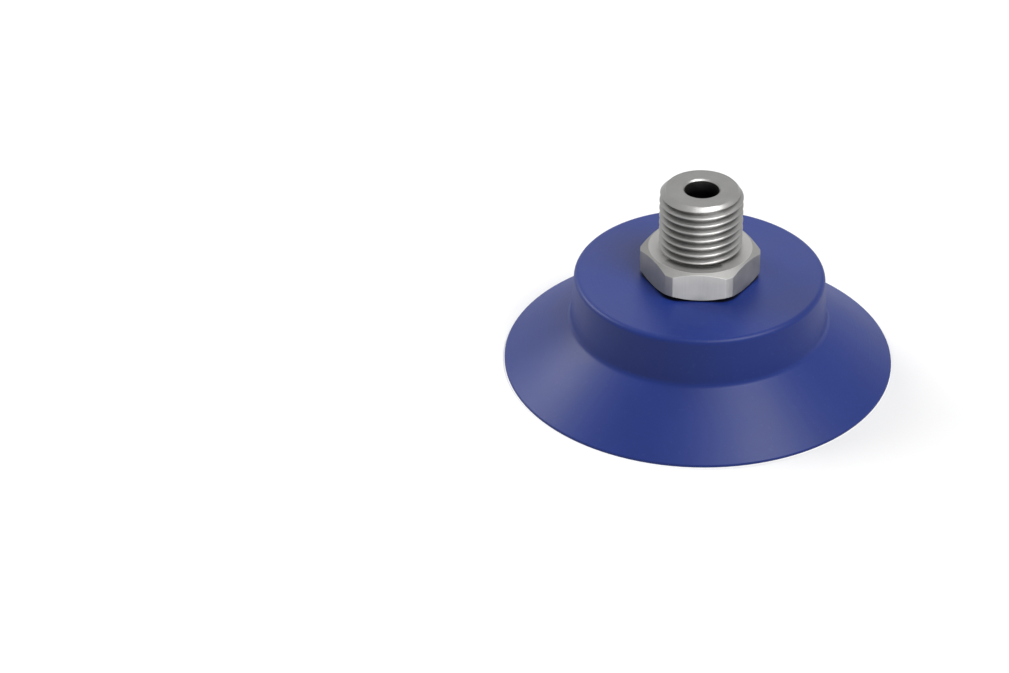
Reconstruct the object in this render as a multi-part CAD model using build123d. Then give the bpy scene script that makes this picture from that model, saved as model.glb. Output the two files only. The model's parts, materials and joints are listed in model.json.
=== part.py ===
from build123d import *
from math import radians, tan
import os

# A flat vacuum cup: an elastomer cup moulded round a turned metal nipple.
# Millimetres, +Z up along the axis, origin at the centre of the plane that the lip rests on.
# The nipple's hexagon has flats facing +Y and -Y.

# Sealing lip, free and unloaded
lip_diameter = 61.8
lip_land_width = 1.2
lip_edge_height = 0.5
lip_edge_radius = 0.22
lip_root_height = 8.1
lip_root_radius = 1.3

# Drum above the lip
drum_diameter = 39.6
drum_height = 16.0
drum_draft = 4.5
drum_edge_radius = 0.8

# Face inside the lip, with the rounded ring and the fine groove that go round it
face_height = 6.2
ring_diameter = 37.5
ring_width = 0.7
ring_height = 0.3
ring_groove_width = 0.35
ring_groove_depth = 0.3

# Raised pads on the face, with radial channels between them
pad_count = 6
pad_angle = 45.0
pad_height = 0.9
pad_diameter = 35.0
pad_wall_run = 0.7
pad_edge_radius = 0.15

# Round spot moulded flush with the face, in one of the channels
spot_diameter = 6.2
spot_distance = 13.8

# Nipple, from its threaded end down
thread_diameter = 13.157
thread_length = 10.5
thread_chamfer = 0.95
hex_across_flats = 17.0
hex_across_corners = 18.9
hex_height = 5.0
hex_bevel_diameter = 16.3
hex_bevel_angle = 30.0
neck_diameter = 13.2
neck_length = 3.2
flange_diameter = 19.0
flange_thickness = 3.0
flange_edge_radius = 0.5
tail_diameter = 12.2
tail_chamfer = 0.65
tail_groove_diameter = 8.9
tail_groove_width = 0.4
tail_groove_depth = 0.35
bore_diameter = 5.5
bore_edge_chamfer = 0.25

# Gap round the metal inside the elastomer; the flat faces touch
grip_clearance = 0.05

# Heights along the axis, from the driving sizes
hex_top = drum_height + hex_height
nipple_top = hex_top + thread_length
flange_top = drum_height - neck_length
flange_bottom = flange_top - flange_thickness

# Radii
lip_radius = lip_diameter / 2
drum_radius = drum_diameter / 2
drum_foot_radius = drum_radius + (drum_height - lip_root_height) * tan(radians(drum_draft))
ring_inner_radius = (ring_diameter - ring_width) / 2
ring_outer_radius = ring_inner_radius + ring_width
groove_inner_radius = ring_inner_radius - ring_groove_width
pad_radius = pad_diameter / 2
thread_radius = thread_diameter / 2
neck_radius = neck_diameter / 2
flange_radius = flange_diameter / 2
tail_radius = tail_diameter / 2
bore_radius = bore_diameter / 2


def section_of(edges):
    """Closed section in the plane that holds the axis: x is the radius, y the height."""
    return Plane.XZ * make_face(Curve() + edges)


def rounded(section, corners, radius):
    """Round the section's corners that lie at the given (radius, height) points."""
    for r, z in corners:
        corner = section.vertices().sort_by_distance((r, 0, z))[0]
        section = fillet(corner, radius)
    return section


def turned(section, angle=360.0):
    """Solid of revolution about the axis."""
    return revolve(section, Axis.Z, angle)


def cup_section():
    """Section of the moulding without its pads: face, ring, lip, drum and the grip round the metal."""
    neck_hole = neck_radius + grip_clearance
    flange_hole = flange_radius + grip_clearance
    tail_hole = tail_radius + grip_clearance
    ring_foot = (ring_inner_radius, face_height)
    ring_crest = (ring_diameter / 2, face_height - ring_height)
    ring_end = (ring_outer_radius, face_height)
    lip_edge = (lip_radius, 0)
    lip_shoulder = (lip_radius, lip_edge_height)
    lip_root = (drum_foot_radius, lip_root_height)
    drum_edge = (drum_radius, drum_height)
    flange_corners = [(flange_hole, flange_top), (flange_hole, flange_bottom)]
    groove = Polyline(
        (tail_hole, face_height),
        (groove_inner_radius, face_height),
        (groove_inner_radius, face_height + ring_groove_depth),
        (ring_inner_radius, face_height + ring_groove_depth),
        ring_foot,
    )
    ring = ThreePointArc(ring_foot, ring_crest, ring_end)
    outside = Polyline(
        ring_end,
        (lip_radius - lip_land_width, 0),
        lip_edge,
        lip_shoulder,
        lip_root,
        drum_edge,
        (neck_hole, drum_height),
        (neck_hole, flange_top),
        *flange_corners,
        (tail_hole, flange_bottom),
        (tail_hole, face_height),
    )
    section = section_of([groove, ring, outside])
    section = rounded(section, [lip_edge, lip_shoulder], lip_edge_radius)
    section = rounded(section, [lip_root], lip_root_radius)
    section = rounded(section, [drum_edge], drum_edge_radius)
    return rounded(section, flange_corners, flange_edge_radius + grip_clearance)


def pad():
    """One raised pad: a flat sector with radial side walls and an outer wall that slopes to the ring."""
    tail_hole = tail_radius + grip_clearance
    pad_foot_radius = pad_radius + pad_wall_run
    root = face_height + ring_groove_depth
    section = section_of([
        Polyline(
            (tail_hole, root),
            (pad_foot_radius, root),
            (pad_foot_radius, face_height),
            (pad_radius, face_height - pad_height),
            (tail_hole, face_height - pad_height),
            close=True,
        )
    ])
    sector = Rot(0, 0, -pad_angle / 2) * turned(section, pad_angle)
    return fillet(sector.edges().group_by(Axis.Z)[0], pad_edge_radius)


def pads():
    """The ring of pads, with a channel on +X and on -X, cut back round the moulded spot."""
    pitch = 360.0 / pad_count
    spot = Pos(-spot_distance, 0, face_height - pad_height) * Cylinder(
        spot_diameter / 2, pad_height, align=(Align.CENTER, Align.CENTER, Align.MIN)
    )
    return [Rot(0, 0, (number + 0.5) * pitch) * pad() - spot for number in range(pad_count)]


def cup():
    """The whole moulding, as one solid."""
    return turned(cup_section()) + pads()


def hexagon():
    """Hexagon with its corners turned down and both ends bevelled."""
    bevel_radius = hex_bevel_diameter / 2
    corner_radius = hex_across_corners / 2
    bevel_drop = (corner_radius - bevel_radius) * tan(radians(hex_bevel_angle))
    bar = extrude(RegularPolygon(hex_across_flats / 2, 6, major_radius=False), hex_height)
    envelope = turned(section_of([
        Polyline(
            (0, 0),
            (bevel_radius, 0),
            (corner_radius, bevel_drop),
            (corner_radius, hex_height - bevel_drop),
            (bevel_radius, hex_height),
            (0, hex_height),
            close=True,
        )
    ]))
    return Pos(0, 0, drum_height) * (bar & envelope)


def nipple_section():
    """Section of the turned metal without its hexagon, from the threaded end down to the tail."""
    groove_outer = (tail_groove_diameter + tail_groove_width) / 2
    groove_inner = groove_outer - tail_groove_width
    flange_corners = [(flange_radius, flange_top), (flange_radius, flange_bottom)]
    section = section_of([
        Polyline(
            (0, nipple_top),
            (thread_radius - thread_chamfer, nipple_top),
            (thread_radius, nipple_top - thread_chamfer),
            (thread_radius, drum_height),
            (neck_radius, drum_height),
            (neck_radius, flange_top),
            *flange_corners,
            (tail_radius, flange_bottom),
            (tail_radius, face_height + tail_chamfer),
            (tail_radius - tail_chamfer, face_height),
            (groove_outer, face_height),
            (groove_outer, face_height + tail_groove_depth),
            (groove_inner, face_height + tail_groove_depth),
            (groove_inner, face_height),
            (0, face_height),
            close=True,
        )
    ])
    return rounded(section, flange_corners, flange_edge_radius)


def air_bore():
    """The way through for the air, wider at both ends by its edge chamfers."""
    mouth_radius = bore_radius + bore_edge_chamfer
    return turned(section_of([
        Polyline(
            (0, face_height),
            (mouth_radius, face_height),
            (bore_radius, face_height + bore_edge_chamfer),
            (bore_radius, nipple_top - bore_edge_chamfer),
            (mouth_radius, nipple_top),
            (0, nipple_top),
            close=True,
        )
    ]))


def nipple():
    """The whole nipple, as one solid. Its thread stands as a plain shank at the thread's outer size."""
    return turned(nipple_section()) + hexagon() - air_bore()


os.makedirs("parts", exist_ok=True)
for name, solid in {"cup": cup(), "nipple": nipple()}.items():
    export_step(solid, f"parts/{name}.step")
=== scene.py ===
# %% [markdown]
# # A flat vacuum cup, dressed for its photograph
#
# The real part is a gripper's suction cup. A soft blue elastomer lip seals against a sheet, a stiff
# drum of the same moulding carries it, and a turned metal nipple is moulded in. Air is drawn off
# through the nipple, and its outside pipe thread screws the cup into a holder.
#
# The solids come from a CAD part that is loaded as a fixed frame. Here they get what solids leave
# out: rounded edges that catch the light, a cut thread, and finishes made of nodes. Everything is
# in metres and in the CAD part's own place, so nothing has to be fitted by eye.

# %% Load the CAD frame and keep its box
import json

import bpy
import numpy as np
from mathutils import Matrix, Vector

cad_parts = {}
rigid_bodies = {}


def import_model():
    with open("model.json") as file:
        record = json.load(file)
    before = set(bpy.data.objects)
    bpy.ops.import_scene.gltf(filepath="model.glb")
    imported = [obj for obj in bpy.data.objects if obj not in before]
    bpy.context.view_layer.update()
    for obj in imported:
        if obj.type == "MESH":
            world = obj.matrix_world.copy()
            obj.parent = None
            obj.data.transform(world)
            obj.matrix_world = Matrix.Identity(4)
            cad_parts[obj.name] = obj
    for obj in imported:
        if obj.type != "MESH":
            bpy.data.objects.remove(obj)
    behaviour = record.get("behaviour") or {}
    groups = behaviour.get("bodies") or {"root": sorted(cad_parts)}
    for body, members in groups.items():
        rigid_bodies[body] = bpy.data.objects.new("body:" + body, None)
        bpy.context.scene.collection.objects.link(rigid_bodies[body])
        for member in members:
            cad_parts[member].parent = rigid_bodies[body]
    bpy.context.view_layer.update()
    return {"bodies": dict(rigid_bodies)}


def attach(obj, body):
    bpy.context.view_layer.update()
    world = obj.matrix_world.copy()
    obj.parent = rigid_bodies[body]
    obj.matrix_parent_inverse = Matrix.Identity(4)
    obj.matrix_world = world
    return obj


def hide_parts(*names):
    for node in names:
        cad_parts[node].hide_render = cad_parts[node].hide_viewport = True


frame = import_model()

MM = 0.001
BODY = next(iter(frame["bodies"]))

# %% [markdown]
# ## A line of straight spans with rounded corners
#
# Both pieces are nearly bodies of revolution, so each starts as a section: a line in the plane of
# radius and height. No moulded or turned edge is razor sharp, and an edge without a small round
# shows no highlight. A Bevel modifier could add the rounds at the end. Here they are worked into
# the section instead, because then each corner has its own radius, known to the hundredth.
#
# The corners may differ from one meridian to the next, which the hexagon needs further down. So
# the function takes a whole array of them and rounds all meridians at once.

# %% Rounded sections
HOLD = 0.05  # mm from a rounded corner to the row of points that keeps the flat beside it flat


def rounded_line(corners, radii, spans, arc_steps=4):
    """Points along a line through the corners, each corner replaced by an arc of its own radius.

    corners is an array of corner, meridian, (radius, height); spans gives for each stretch between
    two corners the shares of its length at which it gets points. At a corner with directions a and
    b towards its neighbours, the arc starts and ends t = R / tan(half the angle) away, and its
    centre lies on the bisector, R / sin(half the angle) away. Points on it come from turning the
    first spoke evenly into the last one.
    """
    corners = np.asarray(corners, float)
    if corners.ndim == 2:
        corners = corners[:, None, :]
    rows, start = [], corners[0]
    for number in range(1, len(corners)):
        corner = corners[number]
        last = number == len(corners) - 1
        radius = 0 if last else radii[number]
        if radius:
            back = start - corner
            ahead = corners[number + 1] - corner
            back = back / np.linalg.norm(back, axis=-1, keepdims=True)
            ahead = ahead / np.linalg.norm(ahead, axis=-1, keepdims=True)
            half = np.arccos(np.clip((back * ahead).sum(-1, keepdims=True), -1, 1)) / 2
            bisector = back + ahead
            bisector = bisector / np.linalg.norm(bisector, axis=-1, keepdims=True)
            centre = corner + bisector * radius / np.sin(half)
            first = corner + back * radius / np.tan(half)
            final = corner + ahead * radius / np.tan(half)
        else:
            first = final = corner
        hold_start = number > 1 and radii[number - 1] > 0
        rows += span_points(start, first, spans[number - 1], hold_start, radius > 0)
        if radius:
            turn = np.pi - 2 * half
            for share in np.arange(arc_steps) / arc_steps:
                spoke = np.sin((1 - share) * turn) * (first - centre)
                spoke += np.sin(share * turn) * (final - centre)
                rows.append(centre + spoke / np.sin(turn))
        start = final
    return np.stack(rows)


def span_points(start, end, shares, hold_start, hold_end):
    """Points on a straight span, with one more HOLD away from each end that runs into a round."""
    length = np.linalg.norm(end - start, axis=-1, keepdims=True)
    hold = np.minimum(HOLD / length, 0.25)
    rows = [start]
    if hold_start:
        rows.append(start + (end - start) * hold)
    rows += [start + (end - start) * share for share in shares if 0 < share < 1]
    if hold_end:
        rows.append(start + (end - start) * (1 - hold))
    return rows


def even(count):
    """Shares that cut a span into so many equal pieces."""
    return np.arange(1, count) / count


# %% [markdown]
# ## From a grid to a mesh
#
# A section carried round the axis is a grid with two parameters: the step along the section and the
# angle. The grid closes both ways, like a ring-shaped cushion, so there are no seams or poles to
# mend. Whole arrays of points and faces go into the mesh in one call, which is both short and fast.
#
# A lathe tool leaves its lines along the section, and so does a turned mould. So each point also
# keeps how far along the section it lies, and the finishes further down draw their lines with that.

# %% Grid to mesh
def ring_faces(rows, columns):
    """Four-cornered faces of a grid that closes on itself both ways, with their fronts outwards."""
    row, column = np.meshgrid(np.arange(rows), np.arange(columns), indexing="ij")
    above, beside = (row + 1) % rows, (column + 1) % columns
    corners = [
        row * columns + column, row * columns + beside,
        above * columns + beside, above * columns + column,
    ]
    return np.stack(corners, axis=-1).reshape(-1, 4)


def run_along(section):
    """Millimetres travelled along each meridian's section, counted from its first row."""
    steps = np.linalg.norm(np.diff(section, axis=0), axis=-1)
    return np.concatenate([np.zeros_like(steps[:1]), np.cumsum(steps, axis=0)])


def piece_from(name, points, faces, node, marks):
    """A smooth-shaded object in metres that rides on the body and stands for a CAD node.

    marks holds numbers for every point, by name, which the materials read as attributes.
    """
    mesh = bpy.data.meshes.new(name)
    mesh.from_pydata(points.reshape(-1, 3) * MM, [], faces)
    mesh.validate()
    mesh.shade_smooth()
    for label, values in marks.items():
        layer = mesh.attributes.new(label, "FLOAT", "POINT")
        layer.data.foreach_set("value", np.asarray(values, np.float32).ravel())
    piece = bpy.data.objects.new(name, mesh)
    bpy.context.scene.collection.objects.link(piece)
    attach(piece, BODY)
    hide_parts(node)
    return piece


def smooth_step(value):
    """0 below 0, 1 above 1, and 3t^2 - 2t^3 between, which starts and ends level."""
    share = np.clip(value, 0, 1)
    return share * share * (3 - 2 * share)


# %% [markdown]
# ## The cup's section
#
# The elastomer cup is one moulding: a face inside the lip, with a rounded ring and a fine groove
# round it, a thin lip that widens to the rim, and a drum that grips the nipple's neck and flange.
# The sizes below are the CAD part's, in millimetres. The rounds on the lip's inner edge and on the
# groove are too fine for the solid and are added here.

# %% Cup section
LIP_R, LIP_LAND, LIP_EDGE_Z, LIP_EDGE_ROUND = 30.9, 1.2, 0.5, 0.22
ROOT_R, ROOT_Z, ROOT_ROUND = 20.4217, 8.1, 1.3
DRUM_R, DRUM_TOP, DRUM_ROUND = 19.8, 16.0, 0.8
FACE_Z, GROOVE_Z, RING_IN, RING_CREST, RING_OUT, GROOVE_IN = 6.2, 6.5, 18.4, 18.75, 19.1, 18.05
RING_Z = 5.9
TAIL_HOLE, FLANGE_HOLE, NECK_HOLE = 6.15, 9.55, 6.65
FLANGE_TOP, FLANGE_BOTTOM = 12.8, 9.8
SPOT_R, SPOT_AT, SPOT_ROW = 3.1, 13.8, 0.09

face_span = GROOVE_IN - TAIL_HOLE
face_radii = np.concatenate([
    np.linspace(TAIL_HOLE, SPOT_AT - SPOT_R - 0.25, 9)[1:],
    np.arange(SPOT_AT - SPOT_R - 0.16, SPOT_AT + SPOT_R + 0.3, SPOT_ROW),
    np.linspace(17.2, 18.0, 17),
])

section_corners = np.array([
    (TAIL_HOLE, FACE_Z), (GROOVE_IN, FACE_Z), (GROOVE_IN, GROOVE_Z), (RING_IN, GROOVE_Z), (RING_IN, FACE_Z),
    (RING_CREST, RING_Z), (RING_OUT, FACE_Z),
    (LIP_R - LIP_LAND, 0), (LIP_R, 0), (LIP_R, LIP_EDGE_Z), (ROOT_R, ROOT_Z), (DRUM_R, DRUM_TOP),
    (NECK_HOLE, DRUM_TOP), (NECK_HOLE, FLANGE_TOP), (FLANGE_HOLE, FLANGE_TOP), (FLANGE_HOLE, FLANGE_BOTTOM),
    (TAIL_HOLE, FLANGE_BOTTOM), (TAIL_HOLE, FACE_Z),
])
corner_rounds = [0, 0.06, 0.08, 0.08, 0.05, 0.16, 0.06, 0.12, LIP_EDGE_ROUND, LIP_EDGE_ROUND, ROOT_ROUND,
                 DRUM_ROUND, 0.15, 0, 0.5, 0.5, 0, 0]
span_shares = [
    (face_radii - TAIL_HOLE) / face_span, [], even(3), even(2), even(3), even(3), even(14), even(3), [],
    even(16), even(10), even(16), even(3), even(3), even(3), even(3), even(3),
]
cup_section = rounded_line(section_corners, corner_rounds, span_shares, arc_steps=6)[:, 0]
print("cup section", len(cup_section), "points, radius up to", cup_section[:, 0].max(), "mm")

# %% [markdown]
# ## Six raised pads and their channels
#
# Inside the lip, six flat pads stand 0.9 mm proud of the face. They keep the sheet from being drawn
# into the cup, and the channels between them lead the air to the bore. One channel widens round a
# flush round spot. The pads could be separate solids joined with a Boolean, which leaves long thin
# faces. Here the face is lifted as a function of radius and angle.
#
# Lines of the grid follow each pad's side walls: near a wall the columns keep a fixed distance from
# it, so a wall is straight and crisp with few points, however narrow the pad is near the axis.

# %% Grid columns that follow the pads' walls
PADS, CHANNEL_HALF = 6, np.radians(7.5)
PAD_TOP, PAD_R, PAD_FOOT_R, WALL_RUN = 5.3, 17.5, 18.2, 0.15
wall_places = np.array([-0.03, 0.0, 0.03, 0.06, 0.09, 0.12, 0.15, 0.18])  # mm into the pad


def half_sector(radius, channel_steps, pad_steps):
    """Angles from a channel's middle line to the next pad's middle, one row for each radius.

    They run evenly to the wall, then at fixed distances d from it, where the angle is the wall's
    plus arcsin(d / radius), and then at the given shares of what is left.
    """
    channel = CHANNEL_HALF * np.arange(channel_steps) / channel_steps * np.ones_like(radius)[:, None]
    wall = CHANNEL_HALF + np.arcsin(wall_places / radius[:, None])
    pad = wall[:, -1:] + (np.pi / PADS - wall[:, -1:]) * np.asarray(pad_steps)
    return np.concatenate([channel, wall, pad], axis=1)


def column_angles(radius):
    """Angles of all the grid's columns at each radius, with finer ones round the spot on -X."""
    held = np.clip(radius, TAIL_HOLE, RING_IN)
    sectors = []
    for number in range(PADS):
        if number == PADS // 2:
            near = np.linspace(0, 0.34, 23)[1:]
            half = half_sector(held, 21, np.concatenate([near, np.linspace(0.34, 1, 6)[1:]]))
        else:
            half = half_sector(held, 3, np.linspace(0, 1, 8)[1:])
        both = np.concatenate([-half[:, ::-1][:, 1:-1], half], axis=1)
        sectors.append(both + 2 * np.pi * number / PADS)
    return np.concatenate(sectors, axis=1)


angles = column_angles(cup_section[:, 0])
print("grid", angles.shape, "first row runs", np.degrees(angles[0, [0, -1]]))

# %% [markdown]
# The height of the face at a point is that of the section, pulled down to the pad's own surface by
# how far the point lies inside the pad. That share climbs from 0 to 1 over 0.15 mm with a smooth
# step, which also rounds the pad's edge and foot a little, as in the mould.

# %% Lift the pads and make the cup
def soft_ramp(value, width):
    """0 far below 0 and the value itself far above it, with a bend of the given width between."""
    return (value + np.sqrt(value * value + width * width)) / 2


def pad_surface(radius):
    """Height of a pad: level, then sloping away to its foot beside the ring, then dropping off."""
    slope = (FACE_Z - PAD_TOP) / (PAD_FOOT_R - PAD_R)
    return PAD_TOP + slope * soft_ramp(radius - PAD_R, 0.1) + 8 * soft_ramp(radius - PAD_FOOT_R, 0.02)


section_r, section_z = cup_section[:, :1], cup_section[:, 1:]
grid_x, grid_y = section_r * np.cos(angles), section_r * np.sin(angles)
from_channel = np.abs((angles + np.pi / PADS) % (2 * np.pi / PADS) - np.pi / PADS)
into_side = section_r * np.sin(from_channel - CHANNEL_HALF)
out_of_spot = np.hypot(grid_x + SPOT_AT, grid_y) - SPOT_R
on_pad = smooth_step(into_side / WALL_RUN) * smooth_step(out_of_spot / WALL_RUN)
on_face = (np.arange(len(cup_section)) < np.argmax(cup_section[:, 0] > RING_IN))[:, None]
lifted = np.minimum(section_z, pad_surface(section_r))
grid_z = section_z + np.where(on_face, on_pad, 0) * (lifted - section_z)

cup_points = np.stack([grid_x, grid_y, grid_z * np.ones_like(grid_x)], axis=-1)
cup_marks = {"run": run_along(cup_section)[:, None] * np.ones_like(angles)}
cup = piece_from("elastomer_cup", cup_points, ring_faces(*angles.shape), "cup", cup_marks)
print("cup", len(cup.data.polygons), "faces, lowest pad", grid_z[on_face[:, 0]].min(), "mm")

# %% [markdown]
# ## The nipple's section
#
# The nipple is turned from hexagon bar. Going up the outside there is the tail with its chamfer and
# fine groove, the flange and neck that the elastomer grips, the hexagon, the thread, and the end
# face with the bore. The hexagon's radius changes with the angle, so its corners of the section are
# arrays, one entry for each meridian, and the curved edge where the bevel cone meets a flat comes
# out by itself.

# %% Meridians and the hexagon
THREAD_R, PITCH, THREAD_FOOT, NIPPLE_TOP, END_CHAMFER = 6.5785, 1.337, 21.0, 31.5, 0.95
HEX_HALF, HEX_CORNER_R, BEVEL_R, BEVEL = 8.5, 9.45, 8.15, np.tan(np.radians(30))
NECK_R, FLANGE_R, TAIL_R, TAIL_CHAMFER = 6.6, 9.5, 6.1, 0.65
TAIL_GROOVE_IN, TAIL_GROOVE_OUT, TAIL_GROOVE_Z = 4.25, 4.65, 6.55
BORE_R, BORE_CHAMFER, TAIL_Z = 2.75, 0.25, 6.2

land_edge = np.arccos(HEX_HALF / HEX_CORNER_R)
near_edge = land_edge + np.array([-0.14, -0.09, -0.06, -0.03, 0, 0.03, 0.06, 0.09]) / HEX_CORNER_R
half_flat = np.concatenate([np.linspace(0, near_edge[0], 9)[:-1], near_edge, [np.pi / 6]])
one_flat = np.concatenate([-half_flat[::-1][1:-1], half_flat])
meridians = (one_flat + np.arange(6)[:, None] * np.pi / 3 + np.pi / 2).ravel()


def hexagon_radius(angle):
    """Distance to the outline of a hexagon whose corners are turned round, edges slightly softened.

    A flat lies at HEX_HALF / cos(angle from its middle), and the turned corner at HEX_CORNER_R. The
    smaller of the two counts, blended over a few hundredths where they meet.
    """
    from_flat = np.abs((angle - np.pi / 2 + np.pi / 6) % (np.pi / 3) - np.pi / 6)
    flat, soft = HEX_HALF / np.cos(from_flat), 0.05
    share = np.clip(0.5 + (HEX_CORNER_R - flat) / (2 * soft), 0, 1)
    return HEX_CORNER_R + (flat - HEX_CORNER_R) * share - soft * share * (1 - share)


hexagon = hexagon_radius(meridians)
print("meridians", len(meridians), "hexagon radius", hexagon.min().round(3), "to", hexagon.max().round(3))

# %% [markdown]
# ## A pipe thread as one helical surface
#
# The thread is a right-hand pipe thread: 55 degree flanks, with round crests and roots. It could be
# made with a Screw modifier, which leaves loose ends. Here the radius is a function of the place
# within the pitch, and each row of the grid climbs by one pitch per turn, so that a crest is one
# clean line of points. Rows that would leave the thread are stopped at its two end planes.

# %% Thread profile
ROUND, FLANK = 0.137329 * PITCH, np.radians(27.5)
THREAD_DEPTH = 0.640327 * PITCH
THREAD_START = 1.039  # mm from the thread's foot up to the crest on +X


def thread_radius(place):
    """Radius at an axial place within the pitch, 0 being a crest.

    Near the crest it is a circle of radius ROUND, near the root the same circle the other way
    round, and between them a straight flank that leans by the flank angle.
    """
    from_crest = np.abs((place + PITCH / 2) % PITCH - PITCH / 2)
    from_root = PITCH / 2 - from_crest
    arc = ROUND * np.cos(FLANK)
    crest = THREAD_R - ROUND + np.sqrt(np.maximum(ROUND**2 - from_crest**2, 0))
    root = THREAD_R - THREAD_DEPTH + ROUND - np.sqrt(np.maximum(ROUND**2 - from_root**2, 0))
    flank = THREAD_R - ROUND * (1 - np.sin(FLANK)) - (from_crest - arc) / np.tan(FLANK)
    return np.where(from_crest < arc, crest, np.where(from_root < arc, root, flank))


arc_run = ROUND * np.cos(FLANK)
half_pitch = np.concatenate([
    arc_run * np.sin(np.linspace(0, np.pi / 2, 5)), np.linspace(arc_run, PITCH / 2 - arc_run, 4)[1:-1],
    PITCH / 2 - arc_run * np.sin(np.linspace(np.pi / 2, 0, 5)),
])
one_pitch = np.concatenate([half_pitch, PITCH - half_pitch[::-1][1:-1]])
turns = int(np.ceil((NIPPLE_TOP - THREAD_FOOT) / PITCH)) + 2
climb = ((np.arange(turns) - 1)[:, None] * PITCH + one_pitch).ravel()[:, None]
thread_columns = np.concatenate([meridians, meridians[:1] + 2 * np.pi])
turned_by = PITCH * (thread_columns - thread_columns[0]) / (2 * np.pi)
thread_z = np.clip(THREAD_FOOT + climb - PITCH + turned_by, THREAD_FOOT, NIPPLE_TOP)
place = thread_z - THREAD_FOOT - THREAD_START - PITCH * thread_columns / (2 * np.pi)
thread_r = np.minimum(thread_radius(place), THREAD_R - END_CHAMFER + soft_ramp(NIPPLE_TOP - thread_z, 0.05))
print("thread rows", thread_z.shape, "radius", thread_r.min().round(3), "to", thread_r.max().round(3))

# %% [markdown]
# The body below the thread and the bore inside it close the ring. Their rows meet the thread's
# first and last row, and a merge of points that lie on the same spot joins the three grids and
# removes the faces that the end planes squeezed to nothing.

# %% Body, bore and the whole nipple
SAME_SPOT = 1e-4  # mm between points that count as one


def per_meridian(radius, height):
    """One corner of the section for every meridian, from numbers or arrays."""
    shape = np.ones_like(thread_columns)
    return np.stack([radius * shape, height * shape], axis=-1)


hexagon = np.concatenate([hexagon, hexagon[:1]])
bevel_drop = (hexagon - BEVEL_R) * BEVEL
body_corners = [
    per_meridian(BORE_R + BORE_CHAMFER, TAIL_Z), per_meridian(TAIL_GROOVE_IN, TAIL_Z),
    per_meridian(TAIL_GROOVE_IN, TAIL_GROOVE_Z), per_meridian(TAIL_GROOVE_OUT, TAIL_GROOVE_Z),
    per_meridian(TAIL_GROOVE_OUT, TAIL_Z), per_meridian(TAIL_R - TAIL_CHAMFER, TAIL_Z),
    per_meridian(TAIL_R, TAIL_Z + TAIL_CHAMFER), per_meridian(TAIL_R, FLANGE_BOTTOM),
    per_meridian(FLANGE_R, FLANGE_BOTTOM), per_meridian(FLANGE_R, FLANGE_TOP),
    per_meridian(NECK_R, FLANGE_TOP), per_meridian(NECK_R, DRUM_TOP),
    per_meridian(BEVEL_R, DRUM_TOP), per_meridian(hexagon, DRUM_TOP + bevel_drop),
    per_meridian(hexagon, THREAD_FOOT - bevel_drop), per_meridian(BEVEL_R, THREAD_FOOT),
    per_meridian(thread_r[0], THREAD_FOOT),
]
body_rounds = [0, 0.06, 0.08, 0.08, 0.06, 0.08, 0.08, 0, 0.5, 0.5, 0, 0, 0.06, 0.1, 0.1, 0.06, 0]
body_spans = [
    even(4), even(2), [], even(2), even(2), even(3), even(2), even(2),
    even(2), even(2), even(2), even(2), even(2), even(4), even(3), even(3),
]
body = rounded_line(body_corners, body_rounds, body_spans)
bore_corners = [
    per_meridian(thread_r[-1], NIPPLE_TOP), per_meridian(BORE_R + BORE_CHAMFER, NIPPLE_TOP),
    per_meridian(BORE_R, NIPPLE_TOP - BORE_CHAMFER), per_meridian(BORE_R, TAIL_Z + BORE_CHAMFER),
    per_meridian(BORE_R + BORE_CHAMFER, TAIL_Z),
]
bore = rounded_line(bore_corners, [0, 0.05, 0.05, 0.05, 0], [even(5), even(2), even(12), even(2)])
nipple_rz = np.concatenate([body, np.stack([thread_r, thread_z], axis=-1), bore])
ring_r, ring_z = nipple_rz[..., 0], nipple_rz[..., 1]
nipple_x, nipple_y = ring_r * np.cos(thread_columns), ring_r * np.sin(thread_columns)
nipple_points = np.stack([nipple_x, nipple_y, ring_z], axis=-1)


def open_faces(rows, columns):
    """Faces of a grid that closes along its rows' direction only; its side seam is merged later."""
    row, column = np.meshgrid(np.arange(rows), np.arange(columns - 1), indexing="ij")
    above = (row + 1) % rows
    corners = [
        row * columns + column, row * columns + column + 1,
        above * columns + column + 1, above * columns + column,
    ]
    return np.stack(corners, axis=-1).reshape(-1, 4)


def merged(points, faces):
    """The points and faces with all points on one spot made one, and which points were kept.

    Points are put in order by their place, rounded to SAME_SPOT. Equal neighbours share a number,
    and a face keeps only corners that differ from the corner before them. A face with fewer than
    three corners left has no area and goes.
    """
    keys = np.round(points.reshape(-1, 3) / SAME_SPOT).astype(np.int64)
    _, first, number = np.unique(keys, axis=0, return_index=True, return_inverse=True)
    faces = number.reshape(-1)[faces]
    keep = faces != np.roll(faces, 1, axis=1)
    solid = keep.sum(axis=1) >= 3
    faces = [face[kept].tolist() for face, kept in zip(faces[solid], keep[solid])]
    return points.reshape(-1, 3)[first], faces, first


points, faces, kept = merged(nipple_points, open_faces(*nipple_points.shape[:2]))
print("nipple", len(points), "points", len(faces), "faces")

# %% [markdown]
# The finish, and the painted light and shade, differ from place to place on the nipple, so its points
# keep some marks. They could be painted by hand or be materials of their own, but the section already
# knows where each point lies.
# Flat is 1 on the hexagon's sides, with its turned corners and bevels. Seat is 1 on the level ring
# round the thread's foot. Hollow climbs from 0 on a crest of the thread to 1 in its root. Shade
# climbs to 1 down the bore and towards the hexagon's lower edge.

# %% Marks on the nipple
NEAR, BORE_SHADE, EDGE_SHADE = 0.02, 1.2, 0.4  # mm

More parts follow.
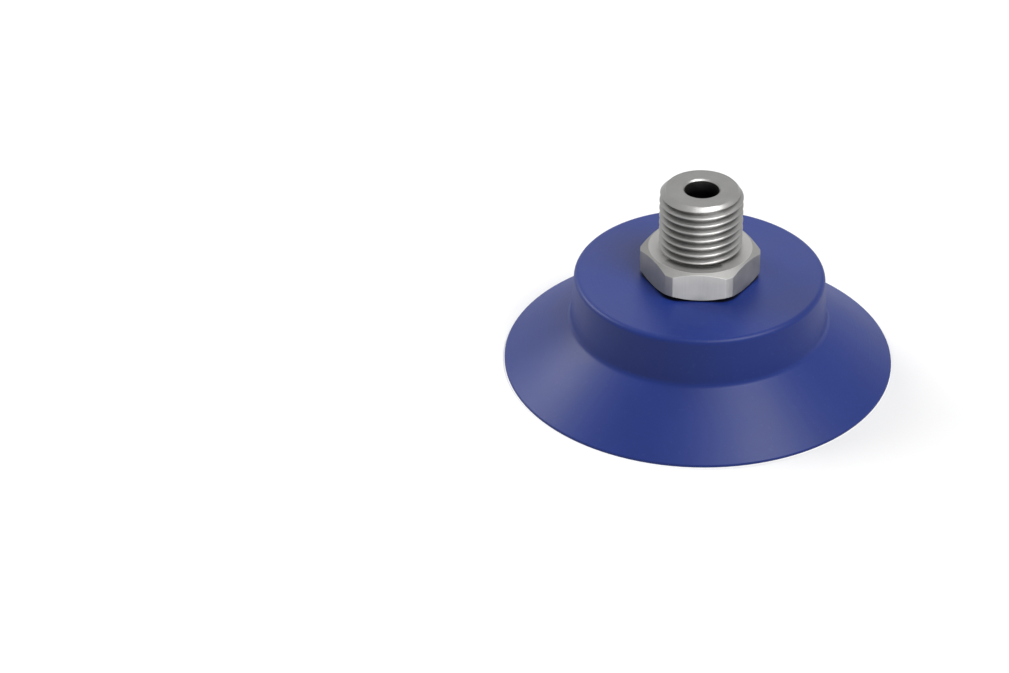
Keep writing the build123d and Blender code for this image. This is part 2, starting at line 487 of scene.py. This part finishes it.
in_thread = np.zeros_like(ring_r)
in_thread[len(body):len(body) + len(thread_r)] = 1
on_side = np.abs(ring_z - (DRUM_TOP + THREAD_FOOT) / 2) < (THREAD_FOOT - DRUM_TOP) / 2 - NEAR
on_seat = (np.abs(ring_z - THREAD_FOOT) < NEAR) & (ring_r > THREAD_R)
outside = THREAD_R - np.clip(END_CHAMFER - (NIPPLE_TOP - ring_z), 0, None)
down_bore = np.clip((NIPPLE_TOP - ring_z) / BORE_SHADE, 0, 1)
lower_edge = (ring_r > BEVEL_R) * np.clip(1 - (ring_z - DRUM_TOP) / EDGE_SHADE, 0, 1)
nipple_marks = {
    "run": run_along(nipple_rz),
    "flat": on_side * (ring_r > BEVEL_R),
    "seat": 1.0 * on_seat,
    "hollow": in_thread * np.clip((outside - ring_r) / THREAD_DEPTH, 0, 1),
    "shade": np.where(ring_r < BORE_R + NEAR / 2, down_bore, lower_edge),
}
nipple_marks = {label: values.ravel()[kept] for label, values in nipple_marks.items()}
nipple = piece_from("threaded_nipple", points, faces, "nipple", nipple_marks)
print("run along the section to", nipple_marks["run"].max().round(1), "mm")

# %% [markdown]
# ## Short words for nodes
#
# Nodes could be placed and linked one call at a time, but a finish of twenty nodes would then fill
# pages. The helpers below add a node with its settings and inputs in one line, and start, close and
# place node groups with named sockets. A group works like a function: an effect is built once, and
# each material gives it its own values.

# %% Node helpers
def node(tree, kind, inputs=None, **settings):
    """Add a node. An input is given a value, or another node's output, which is then linked."""
    made = tree.nodes.new("ShaderNode" + kind)
    for key, value in settings.items():
        setattr(made, key, value)
    for key, value in (inputs or {}).items():
        if isinstance(value, bpy.types.NodeSocket):
            tree.links.new(value, made.inputs[key])
        else:
            made.inputs[key].default_value = value
    return made


def math(tree, operation, first, second=0.0):
    return node(tree, "Math", {0: first, 1: second}, operation=operation).outputs[0]


def spread(tree, value, low, high, to_low, to_high):
    """Carry a value from one range into another and stop at its ends."""
    ends = {"Value": value, "From Min": low, "From Max": high, "To Min": to_low, "To Max": to_high}
    return node(tree, "MapRange", ends).outputs["Result"]


def blend(tree, share, first, second):
    """Mix two colours by a share between 0 and 1."""
    colours = {0: share, 6: first, 7: second}
    return node(tree, "Mix", colours, data_type="RGBA").outputs[2]


def new_group(name, sockets):
    """Start a node group from its inputs' names and kinds; returns its tree and what comes in."""
    tree = bpy.data.node_groups.new(name, "ShaderNodeTree")
    for label, kind in sockets:
        tree.interface.new_socket(label, in_out="INPUT", socket_type="NodeSocket" + kind)
    tree.nodes.new("NodeGroupOutput").name = "Given Back"
    return tree, tree.nodes.new("NodeGroupInput").outputs


def give(tree, label, value):
    """Give a group one more output, a number, and link the value to it."""
    tree.interface.new_socket(label, in_out="OUTPUT", socket_type="NodeSocketFloat")
    tree.links.new(value, tree.nodes["Given Back"].inputs[label])


def use_group(tree, group, inputs):
    """Place a group in a material with its own values."""
    made = tree.nodes.new("ShaderNodeGroup")
    made.node_tree = group
    for key, value in inputs.items():
        if isinstance(value, bpy.types.NodeSocket):
            tree.links.new(value, made.inputs[key])
        else:
            made.inputs[key].default_value = value
    return made.outputs


def new_material(name):
    made = bpy.data.materials.new(name)
    made.use_nodes = True
    return made, made.node_tree, made.node_tree.nodes["Principled BSDF"]


# %% [markdown]
# ## Two effects that the finishes share
#
# No surface is the same all over. Handling, cleaning and the mould leave broad, faint patches, and
# here and there a small spot. One noise stretched to a low size gives the patches, and the peaks of
# a fine one give the spots.
#
# Turning leaves lines along the section, on the metal by the lathe tool and on the elastomer as the
# print of a turned mould. A pattern on coordinates would need one rule for faces and another for
# cylinders. The run along the section serves both: a noise in one dimension reads it, so each line
# closes round the axis by itself.

# %% Node groups
patches, given = new_group("patches_and_spots",
                           [("Vector", "Vector"), ("Patch Size", "Float"), ("Spot Size", "Float")])
broad = node(patches, "TexNoise", {"Vector": given["Vector"], "Detail": 3.0,
                                   "Scale": math(patches, "DIVIDE", 1.0, given["Patch Size"])})
dots = node(patches, "TexNoise", {"Vector": given["Vector"], "Detail": 0.0,
                                  "Scale": math(patches, "DIVIDE", 1.0, given["Spot Size"])})
give(patches, "Patches", spread(patches, broad.outputs[0], 0.35, 0.65, 0.0, 1.0))
give(patches, "Spots", spread(patches, dots.outputs[0], 0.74, 0.80, 0.0, 1.0))

tool_lines, given = new_group("tool_lines", [("Run", "Float"), ("Spacing", "Float")])
along = math(tool_lines, "DIVIDE", given["Run"], given["Spacing"])
wander = node(tool_lines, "TexNoise", {"W": along, "Scale": 1.0, "Detail": 2.0}, noise_dimensions="1D")
give(tool_lines, "Lines", spread(tool_lines, wander.outputs[0], 0.3, 0.7, 0.0, 1.0))
print("groups", [(tree.name, len(tree.nodes)) for tree in (patches, tool_lines)])

# %% [markdown]
# ## Blue elastomer
#
# The cup is a soft elastomer, coloured through and moulded in a fine-turned, lightly etched steel
# mould. It is satin: its highlights are broad and soft. A glossy coat or a subsurface glow would be
# ways to make plastics, but here a plain body colour with a rough surface matches best. The grain
# is far finer than a pixel of the photograph, so it mostly shows as softness, and close up as a
# fine tooth. In the photograph the far edges stay dark where this surface would mirror the white
# around it, so the mirrored share comes down by how far the surface faces away. How much was set by
# comparing renders with the photograph.
#
# Under the hexagon's lower bevel a thin gap stays between metal and elastomer, and painted shade
# darkens the elastomer there nearly to black. The distance across the hexagon, the largest of three
# dot products with its flats' directions, tells where the gap is, and the distance from the axis ends
# it at the turned corners.

# %% Elastomer finish
# where painted shade darkens the elastomer under the hexagon's overhang
GAP_ACROSS = ((HEX_HALF - 0.10) * MM, (HEX_HALF + 0.15) * MM)
GAP_CORNER, GAP_HEIGHT = (9.15 * MM, HEX_CORNER_R * MM), (15.7 * MM, 15.9 * MM)

elastomer, tree, shader = new_material("blue_elastomer")
where = node(tree, "TexCoord").outputs["Object"]
run = node(tree, "Attribute", attribute_name="run").outputs["Fac"]
uneven = use_group(tree, patches, {"Vector": where, "Patch Size": 0.014, "Spot Size": 0.0006})
mould = use_group(tree, tool_lines, {"Run": run, "Spacing": 0.35})["Lines"]
tooth = node(tree, "TexNoise", {"Vector": where, "Scale": 5500.0, "Detail": 2.0}).outputs[0]

body_colour = blend(tree, uneven["Patches"], (0.0082, 0.0238, 0.162, 1), (0.0094, 0.0272, 0.180, 1))
few_spots = math(tree, "MULTIPLY", uneven["Spots"], 0.08)
body_colour = blend(tree, few_spots, body_colour, (0.06, 0.09, 0.24, 1))

x, y, z = node(tree, "SeparateXYZ", {0: where}).outputs
across = math(tree, "ABSOLUTE", y)
for lean in (0.5, -0.5):
    slanted = math(tree, "ADD", math(tree, "MULTIPLY", x, 0.75**0.5), math(tree, "MULTIPLY", y, lean))
    across = math(tree, "MAXIMUM", across, math(tree, "ABSOLUTE", slanted))
squares = math(tree, "ADD", math(tree, "MULTIPLY", x, x), math(tree, "MULTIPLY", y, y))
from_axis = math(tree, "SQRT", squares)
gap_shade = math(tree, "MULTIPLY", spread(tree, across, *GAP_ACROSS, 1.0, 0.0),
              spread(tree, from_axis, *GAP_CORNER, 1.0, 0.0))
gap_shade = math(tree, "MULTIPLY", gap_shade, spread(tree, z, *GAP_HEIGHT, 0.0, 1.0))
# painted shade: the elastomer in the gap under the hexagon is darkened nearly to black
tree.links.new(blend(tree, math(tree, "MULTIPLY", gap_shade, 0.93), body_colour, (0.001, 0.001, 0.002, 1)),
               shader.inputs["Base Color"])
satin = spread(tree, uneven["Patches"], 0.0, 1.0, 0.41, 0.45)
tree.links.new(math(tree, "ADD", satin, math(tree, "MULTIPLY", mould, 0.03)), shader.inputs["Roughness"])
relief = math(tree, "ADD", math(tree, "MULTIPLY", tooth, 0.7), math(tree, "MULTIPLY", mould, 0.3))
tree.links.new(node(tree, "Bump", {"Height": relief, "Strength": 1.0, "Distance": 4e-6}).outputs[0],
               shader.inputs["Normal"])

glancing = node(tree, "LayerWeight", {"Blend": 0.5}).outputs["Facing"]
tree.links.new(spread(tree, glancing, 0.60, 0.95, 0.27, 0.04), shader.inputs["Specular IOR Level"])
cup.data.materials.append(elastomer)
print("elastomer finish", len(tree.nodes), "nodes")

# %% [markdown]
# ## Turned metal
#
# The nipple is light grey metal, turned all over except on its six flats, which keep the drawn
# bar's grain that runs along the axis. Fully metallic, it takes its tones from what it mirrors, so
# roughness and fine relief do most of the work. The tool lines come from the run along the section,
# the grain of the sides from a noise stretched along the axis, and the flat mark picks one of them.
#
# The other marks set the tone, as painted light and shade. The roots of the thread are darkened with
# painted shade. Down the bore and at the hexagon's lower edge hardly any light gets in, and painted
# shade darkens them. The seat mirrors the dark roots and yet is light in the photograph, so painted
# light makes its grey lighter, and like the sides it is a little rougher than the rest. All greys are
# darker than clean metal, because the part stands in white here and the photograph's metal also
# mirrors darker things.

# %% Metal finish
metal, tree, shader = new_material("turned_metal")
where = node(tree, "TexCoord").outputs["Object"]
run = node(tree, "Attribute", attribute_name="run").outputs["Fac"]
flat = node(tree, "Attribute", attribute_name="flat").outputs["Fac"]
hollow = node(tree, "Attribute", attribute_name="hollow").outputs["Fac"]
shade = node(tree, "Attribute", attribute_name="shade").outputs["Fac"]
seat = node(tree, "Attribute", attribute_name="seat").outputs["Fac"]
uneven = use_group(tree, patches, {"Vector": where, "Patch Size": 0.004, "Spot Size": 0.0003})
turned = use_group(tree, tool_lines, {"Run": run, "Spacing": 0.10})["Lines"]
stretched = node(tree, "Mapping", {"Vector": where, "Scale": (1.0, 1.0, 0.06)}).outputs[0]
drawn = node(tree, "TexNoise", {"Vector": stretched, "Scale": 4500.0, "Detail": 3.0}).outputs[0]
lines = spread(tree, flat, 0.0, 1.0, turned, drawn)

grey = blend(tree, uneven["Patches"], (0.243, 0.241, 0.234, 1), (0.280, 0.278, 0.271, 1))
grey = blend(tree, math(tree, "MULTIPLY", lines, 0.4), grey, (0.37, 0.367, 0.359, 1))
# painted light: the seat gets a lighter grey because it mirrors the dark roots
grey = blend(tree, seat, grey, (0.46, 0.455, 0.445, 1))
# painted shade: the thread's roots are darkened the deeper they lie
root = spread(tree, hollow, 0.40, 0.95, 0.0, 0.78)
grey = blend(tree, root, grey, (0.06, 0.058, 0.055, 1))
grey = blend(tree, math(tree, "MULTIPLY", shade, 0.95), grey, (0.012, 0.012, 0.013, 1))
tree.links.new(grey, shader.inputs["Base Color"])
rough = spread(tree, uneven["Patches"], 0.0, 1.0, 0.30, 0.36)
rough = math(tree, "ADD", rough, math(tree, "MULTIPLY", lines, 0.06))
rough = math(tree, "ADD", rough, math(tree, "MULTIPLY", math(tree, "MAXIMUM", flat, seat), 0.18))
tree.links.new(rough, shader.inputs["Roughness"])
tree.links.new(node(tree, "Bump", {"Height": lines, "Strength": 1.0, "Distance": 6e-6}).outputs[0],
               shader.inputs["Normal"])
shader.inputs["Metallic"].default_value = 1.0
nipple.data.materials.append(metal)
print("metal finish", len(tree.nodes), "nodes")

# %% [markdown]
# ## Floor and surroundings
#
# The photograph shows the part on pure white. The floor is a pale sheet, and rays from the camera
# see a little extra white on it, so that it reaches white while the shadow at the lip stays. Far
# off, where the lamps' light thins out, the extra grows to full white, and the world is white as
# well. Metal mirrors the same white, so mirror rays get it too. For all other rays the world is
# faint and just opens up the deepest shade. A stronger world could light everything, but then no
# side would be in shade.
#
# The floor's hole is a little wider than the lip, so that no two surfaces lie on one spot. The back
# of the sheet lets light through, and the part can also be looked at from below.

# %% Floor and world
HOLE_R, FLOOR_R, COLUMNS = 0.0310, 4.0, 128
FLOOR_WHITE, WORLD_LIGHT = 0.17, 0.10
LIT_TO, WHITE_FROM = 0.6, 2.0  # metres from the part between which the floor's extra white grows


def white_rays(tree):
    """1 for rays that come from the camera, off a mirror or through glass, and 0 for all others."""
    seen = node(tree, "LightPath").outputs
    off_or_through = math(tree, "MAXIMUM", seen["Is Glossy Ray"], seen["Is Transmission Ray"])
    return math(tree, "MAXIMUM", seen["Is Camera Ray"], off_or_through)


floor_rings = np.geomspace(HOLE_R, FLOOR_R, 24)[:, None]
around = np.arange(COLUMNS) * 2 * np.pi / COLUMNS
floor_points = np.stack([floor_rings * np.cos(around), floor_rings * np.sin(around),
                         np.zeros((len(floor_rings), COLUMNS))], axis=-1)
ring, column = np.meshgrid(np.arange(len(floor_rings) - 1), np.arange(COLUMNS), indexing="ij")
beside = (column + 1) % COLUMNS
floor_faces = np.stack([
    ring * COLUMNS + column, (ring + 1) * COLUMNS + column,
    (ring + 1) * COLUMNS + beside, ring * COLUMNS + beside,
], axis=-1).reshape(-1, 4)
floor_mesh = bpy.data.meshes.new("floor")
floor_mesh.from_pydata(floor_points.reshape(-1, 3), [], floor_faces)
floor = bpy.data.objects.new("floor", floor_mesh)
bpy.context.scene.collection.objects.link(floor)
print("floor faces up:", floor_mesh.polygons[0].normal.z > 0)

pale, tree, shader = new_material("pale_floor")
where = node(tree, "TexCoord").outputs["Object"]
faint = node(tree, "TexNoise", {"Vector": where, "Scale": 40.0, "Detail": 4.0}).outputs[0]
tree.links.new(blend(tree, faint, (0.76, 0.76, 0.76, 1), (0.80, 0.80, 0.80, 1)),
               shader.inputs["Base Color"])
shader.inputs["Roughness"].default_value = 0.9
shader.inputs["Specular IOR Level"].default_value = 0.0
shader.inputs["Emission Color"].default_value = (1, 1, 1, 1)
away = node(tree, "VectorMath", {0: where}, operation="LENGTH").outputs["Value"]
extra = spread(tree, away, LIT_TO, WHITE_FROM, FLOOR_WHITE, 1.0)
tree.links.new(math(tree, "MULTIPLY", white_rays(tree), extra), shader.inputs["Emission Strength"])
clear = node(tree, "BsdfTransparent").outputs[0]
behind = node(tree, "NewGeometry").outputs["Backfacing"]
sheet = node(tree, "MixShader", {0: behind, 1: shader.outputs[0], 2: clear})
tree.links.new(sheet.outputs[0], tree.nodes["Material Output"].inputs["Surface"])
floor_mesh.materials.append(pale)

world = bpy.data.worlds.new("studio")
bpy.context.scene.world = world
world.use_nodes = True
tree = world.node_tree
tree.nodes["Background"].inputs["Color"].default_value = (1, 1, 1, 1)
tree.links.new(spread(tree, white_rays(tree), 0.0, 1.0, WORLD_LIGHT, 1.0),
               tree.nodes["Background"].inputs["Strength"])

# %% [markdown]
# ## Camera
#
# The camera stands where the photographer's stood. Its place and turn were fitted to the outlines of
# the lip, the drum and the nipple in the photograph with a pinhole model: a picture point is the
# focal length times the sideways distance over the distance ahead.

# %% Camera
TURN, TILT, ROLL = np.radians(3.7), np.radians(33.0), np.radians(0.36)
CAMERA_SHIFT, PHOTO_F, PHOTO_W = np.array([30.90, 3.380, 608.8]), 3800, 1009
ahead = np.array([0, np.cos(TILT), -np.sin(TILT)])
right = np.array([1.0, 0, 0])
down = np.cross(ahead, right)
axes = np.array([
    np.cos(ROLL) * right + np.sin(ROLL) * down,
    -np.sin(ROLL) * right + np.cos(ROLL) * down,
    ahead,
])
spin = np.array([[np.cos(TURN), -np.sin(TURN), 0], [np.sin(TURN), np.cos(TURN), 0], [0, 0, 1]])
pose = np.eye(4)
pose[:3, :3] = spin @ np.stack([axes[0], -axes[1], -axes[2]], axis=1)
pose[:3, 3] = spin @ (-axes.T @ CAMERA_SHIFT) * MM
camera_data = bpy.data.cameras.new("camera")
camera_data.sensor_width = 36
camera_data.lens = PHOTO_F * camera_data.sensor_width / PHOTO_W
camera_data.clip_end = 20
camera = bpy.data.objects.new("camera", camera_data)
bpy.context.scene.collection.objects.link(camera)
camera.matrix_world = Matrix(pose.tolist())
bpy.context.scene.camera = camera
print("camera at", pose[:3, 3].round(4))

# %% [markdown]
# ## Lamps
#
# Soft round lamps stand for the softboxes. Each is given by its direction as seen from the part, its
# width and how bright its face looks, where 1 would show as white in a mirror.
#
# The photograph's metal mirrors bright surroundings while its elastomer stands in darker ones, as if
# each had been lit for itself. So each has lamps of its own, through the lamps' receiver lists, and
# the floor goes with the elastomer. The hexagon's sides mirror light from low in front, where the
# cup is in the way, so the two low metal lamps are blocked by the metal alone. The last two light
# the underside of the elastomer.

# %% Lamps
LAMP_AWAY, AIM = 1.0, Vector((0, 0, 0.012))


def lit_group(name, pieces):
    """A collection that a lamp can be tied to, as all that it lights or all that blocks it."""
    group = bpy.data.collections.new(name)
    for piece in pieces:
        group.objects.link(piece)
    return group


def softbox(name, around, up, width, brightness, lit=None, in_the_way=None):
    """A disc of light aimed at the part. Its power is pi x area x brightness.

    It lights only the objects in lit, and only those in in_the_way cast its shadow. None stands for
    all objects.
    """
    data = bpy.data.lights.new(name, "AREA")
    data.shape = "DISK"
    data.size = width
    data.energy = np.pi * np.pi * (width / 2) ** 2 * brightness
    lamp = bpy.data.objects.new(name, data)
    bpy.context.scene.collection.objects.link(lamp)
    around, up = np.radians(around), np.radians(up)
    way = Vector((np.cos(up) * np.cos(around), np.cos(up) * np.sin(around), np.sin(up)))
    lamp.location = AIM + LAMP_AWAY * way
    lamp.rotation_euler = way.to_track_quat("Z", "Y").to_euler()
    lamp.visible_camera = False
    lamp.light_linking.receiver_collection = lit
    lamp.light_linking.blocker_collection = in_the_way
    return lamp


metal_parts = lit_group("metal_parts", [nipple])
soft_parts = lit_group("soft_parts", [cup, floor])
softbox("back_box", 92, 34, 0.60, 1.1, soft_parts)
softbox("left_box", 153, 35, 0.50, 9.0, soft_parts)
softbox("front_box", -35, 57, 0.55, 12.5, soft_parts)
softbox("metal_low_box", -88, -22, 0.55, 5.7, metal_parts, metal_parts)
softbox("metal_low_right_box", -52, -26, 0.42, 8.0, metal_parts, metal_parts)
softbox("metal_front_box", -62, 36, 0.42, 15.0, metal_parts)
softbox("metal_high_box", -88, 58, 0.50, 3.4, metal_parts)
softbox("metal_right_box", -36, 56, 0.42, 10.0, metal_parts)
softbox("low_left_box", 200, -40, 0.5, 8.0, soft_parts)
softbox("low_right_box", -30, -50, 0.5, 6.0, soft_parts)
bpy.context.scene.view_settings.view_transform = "Standard"
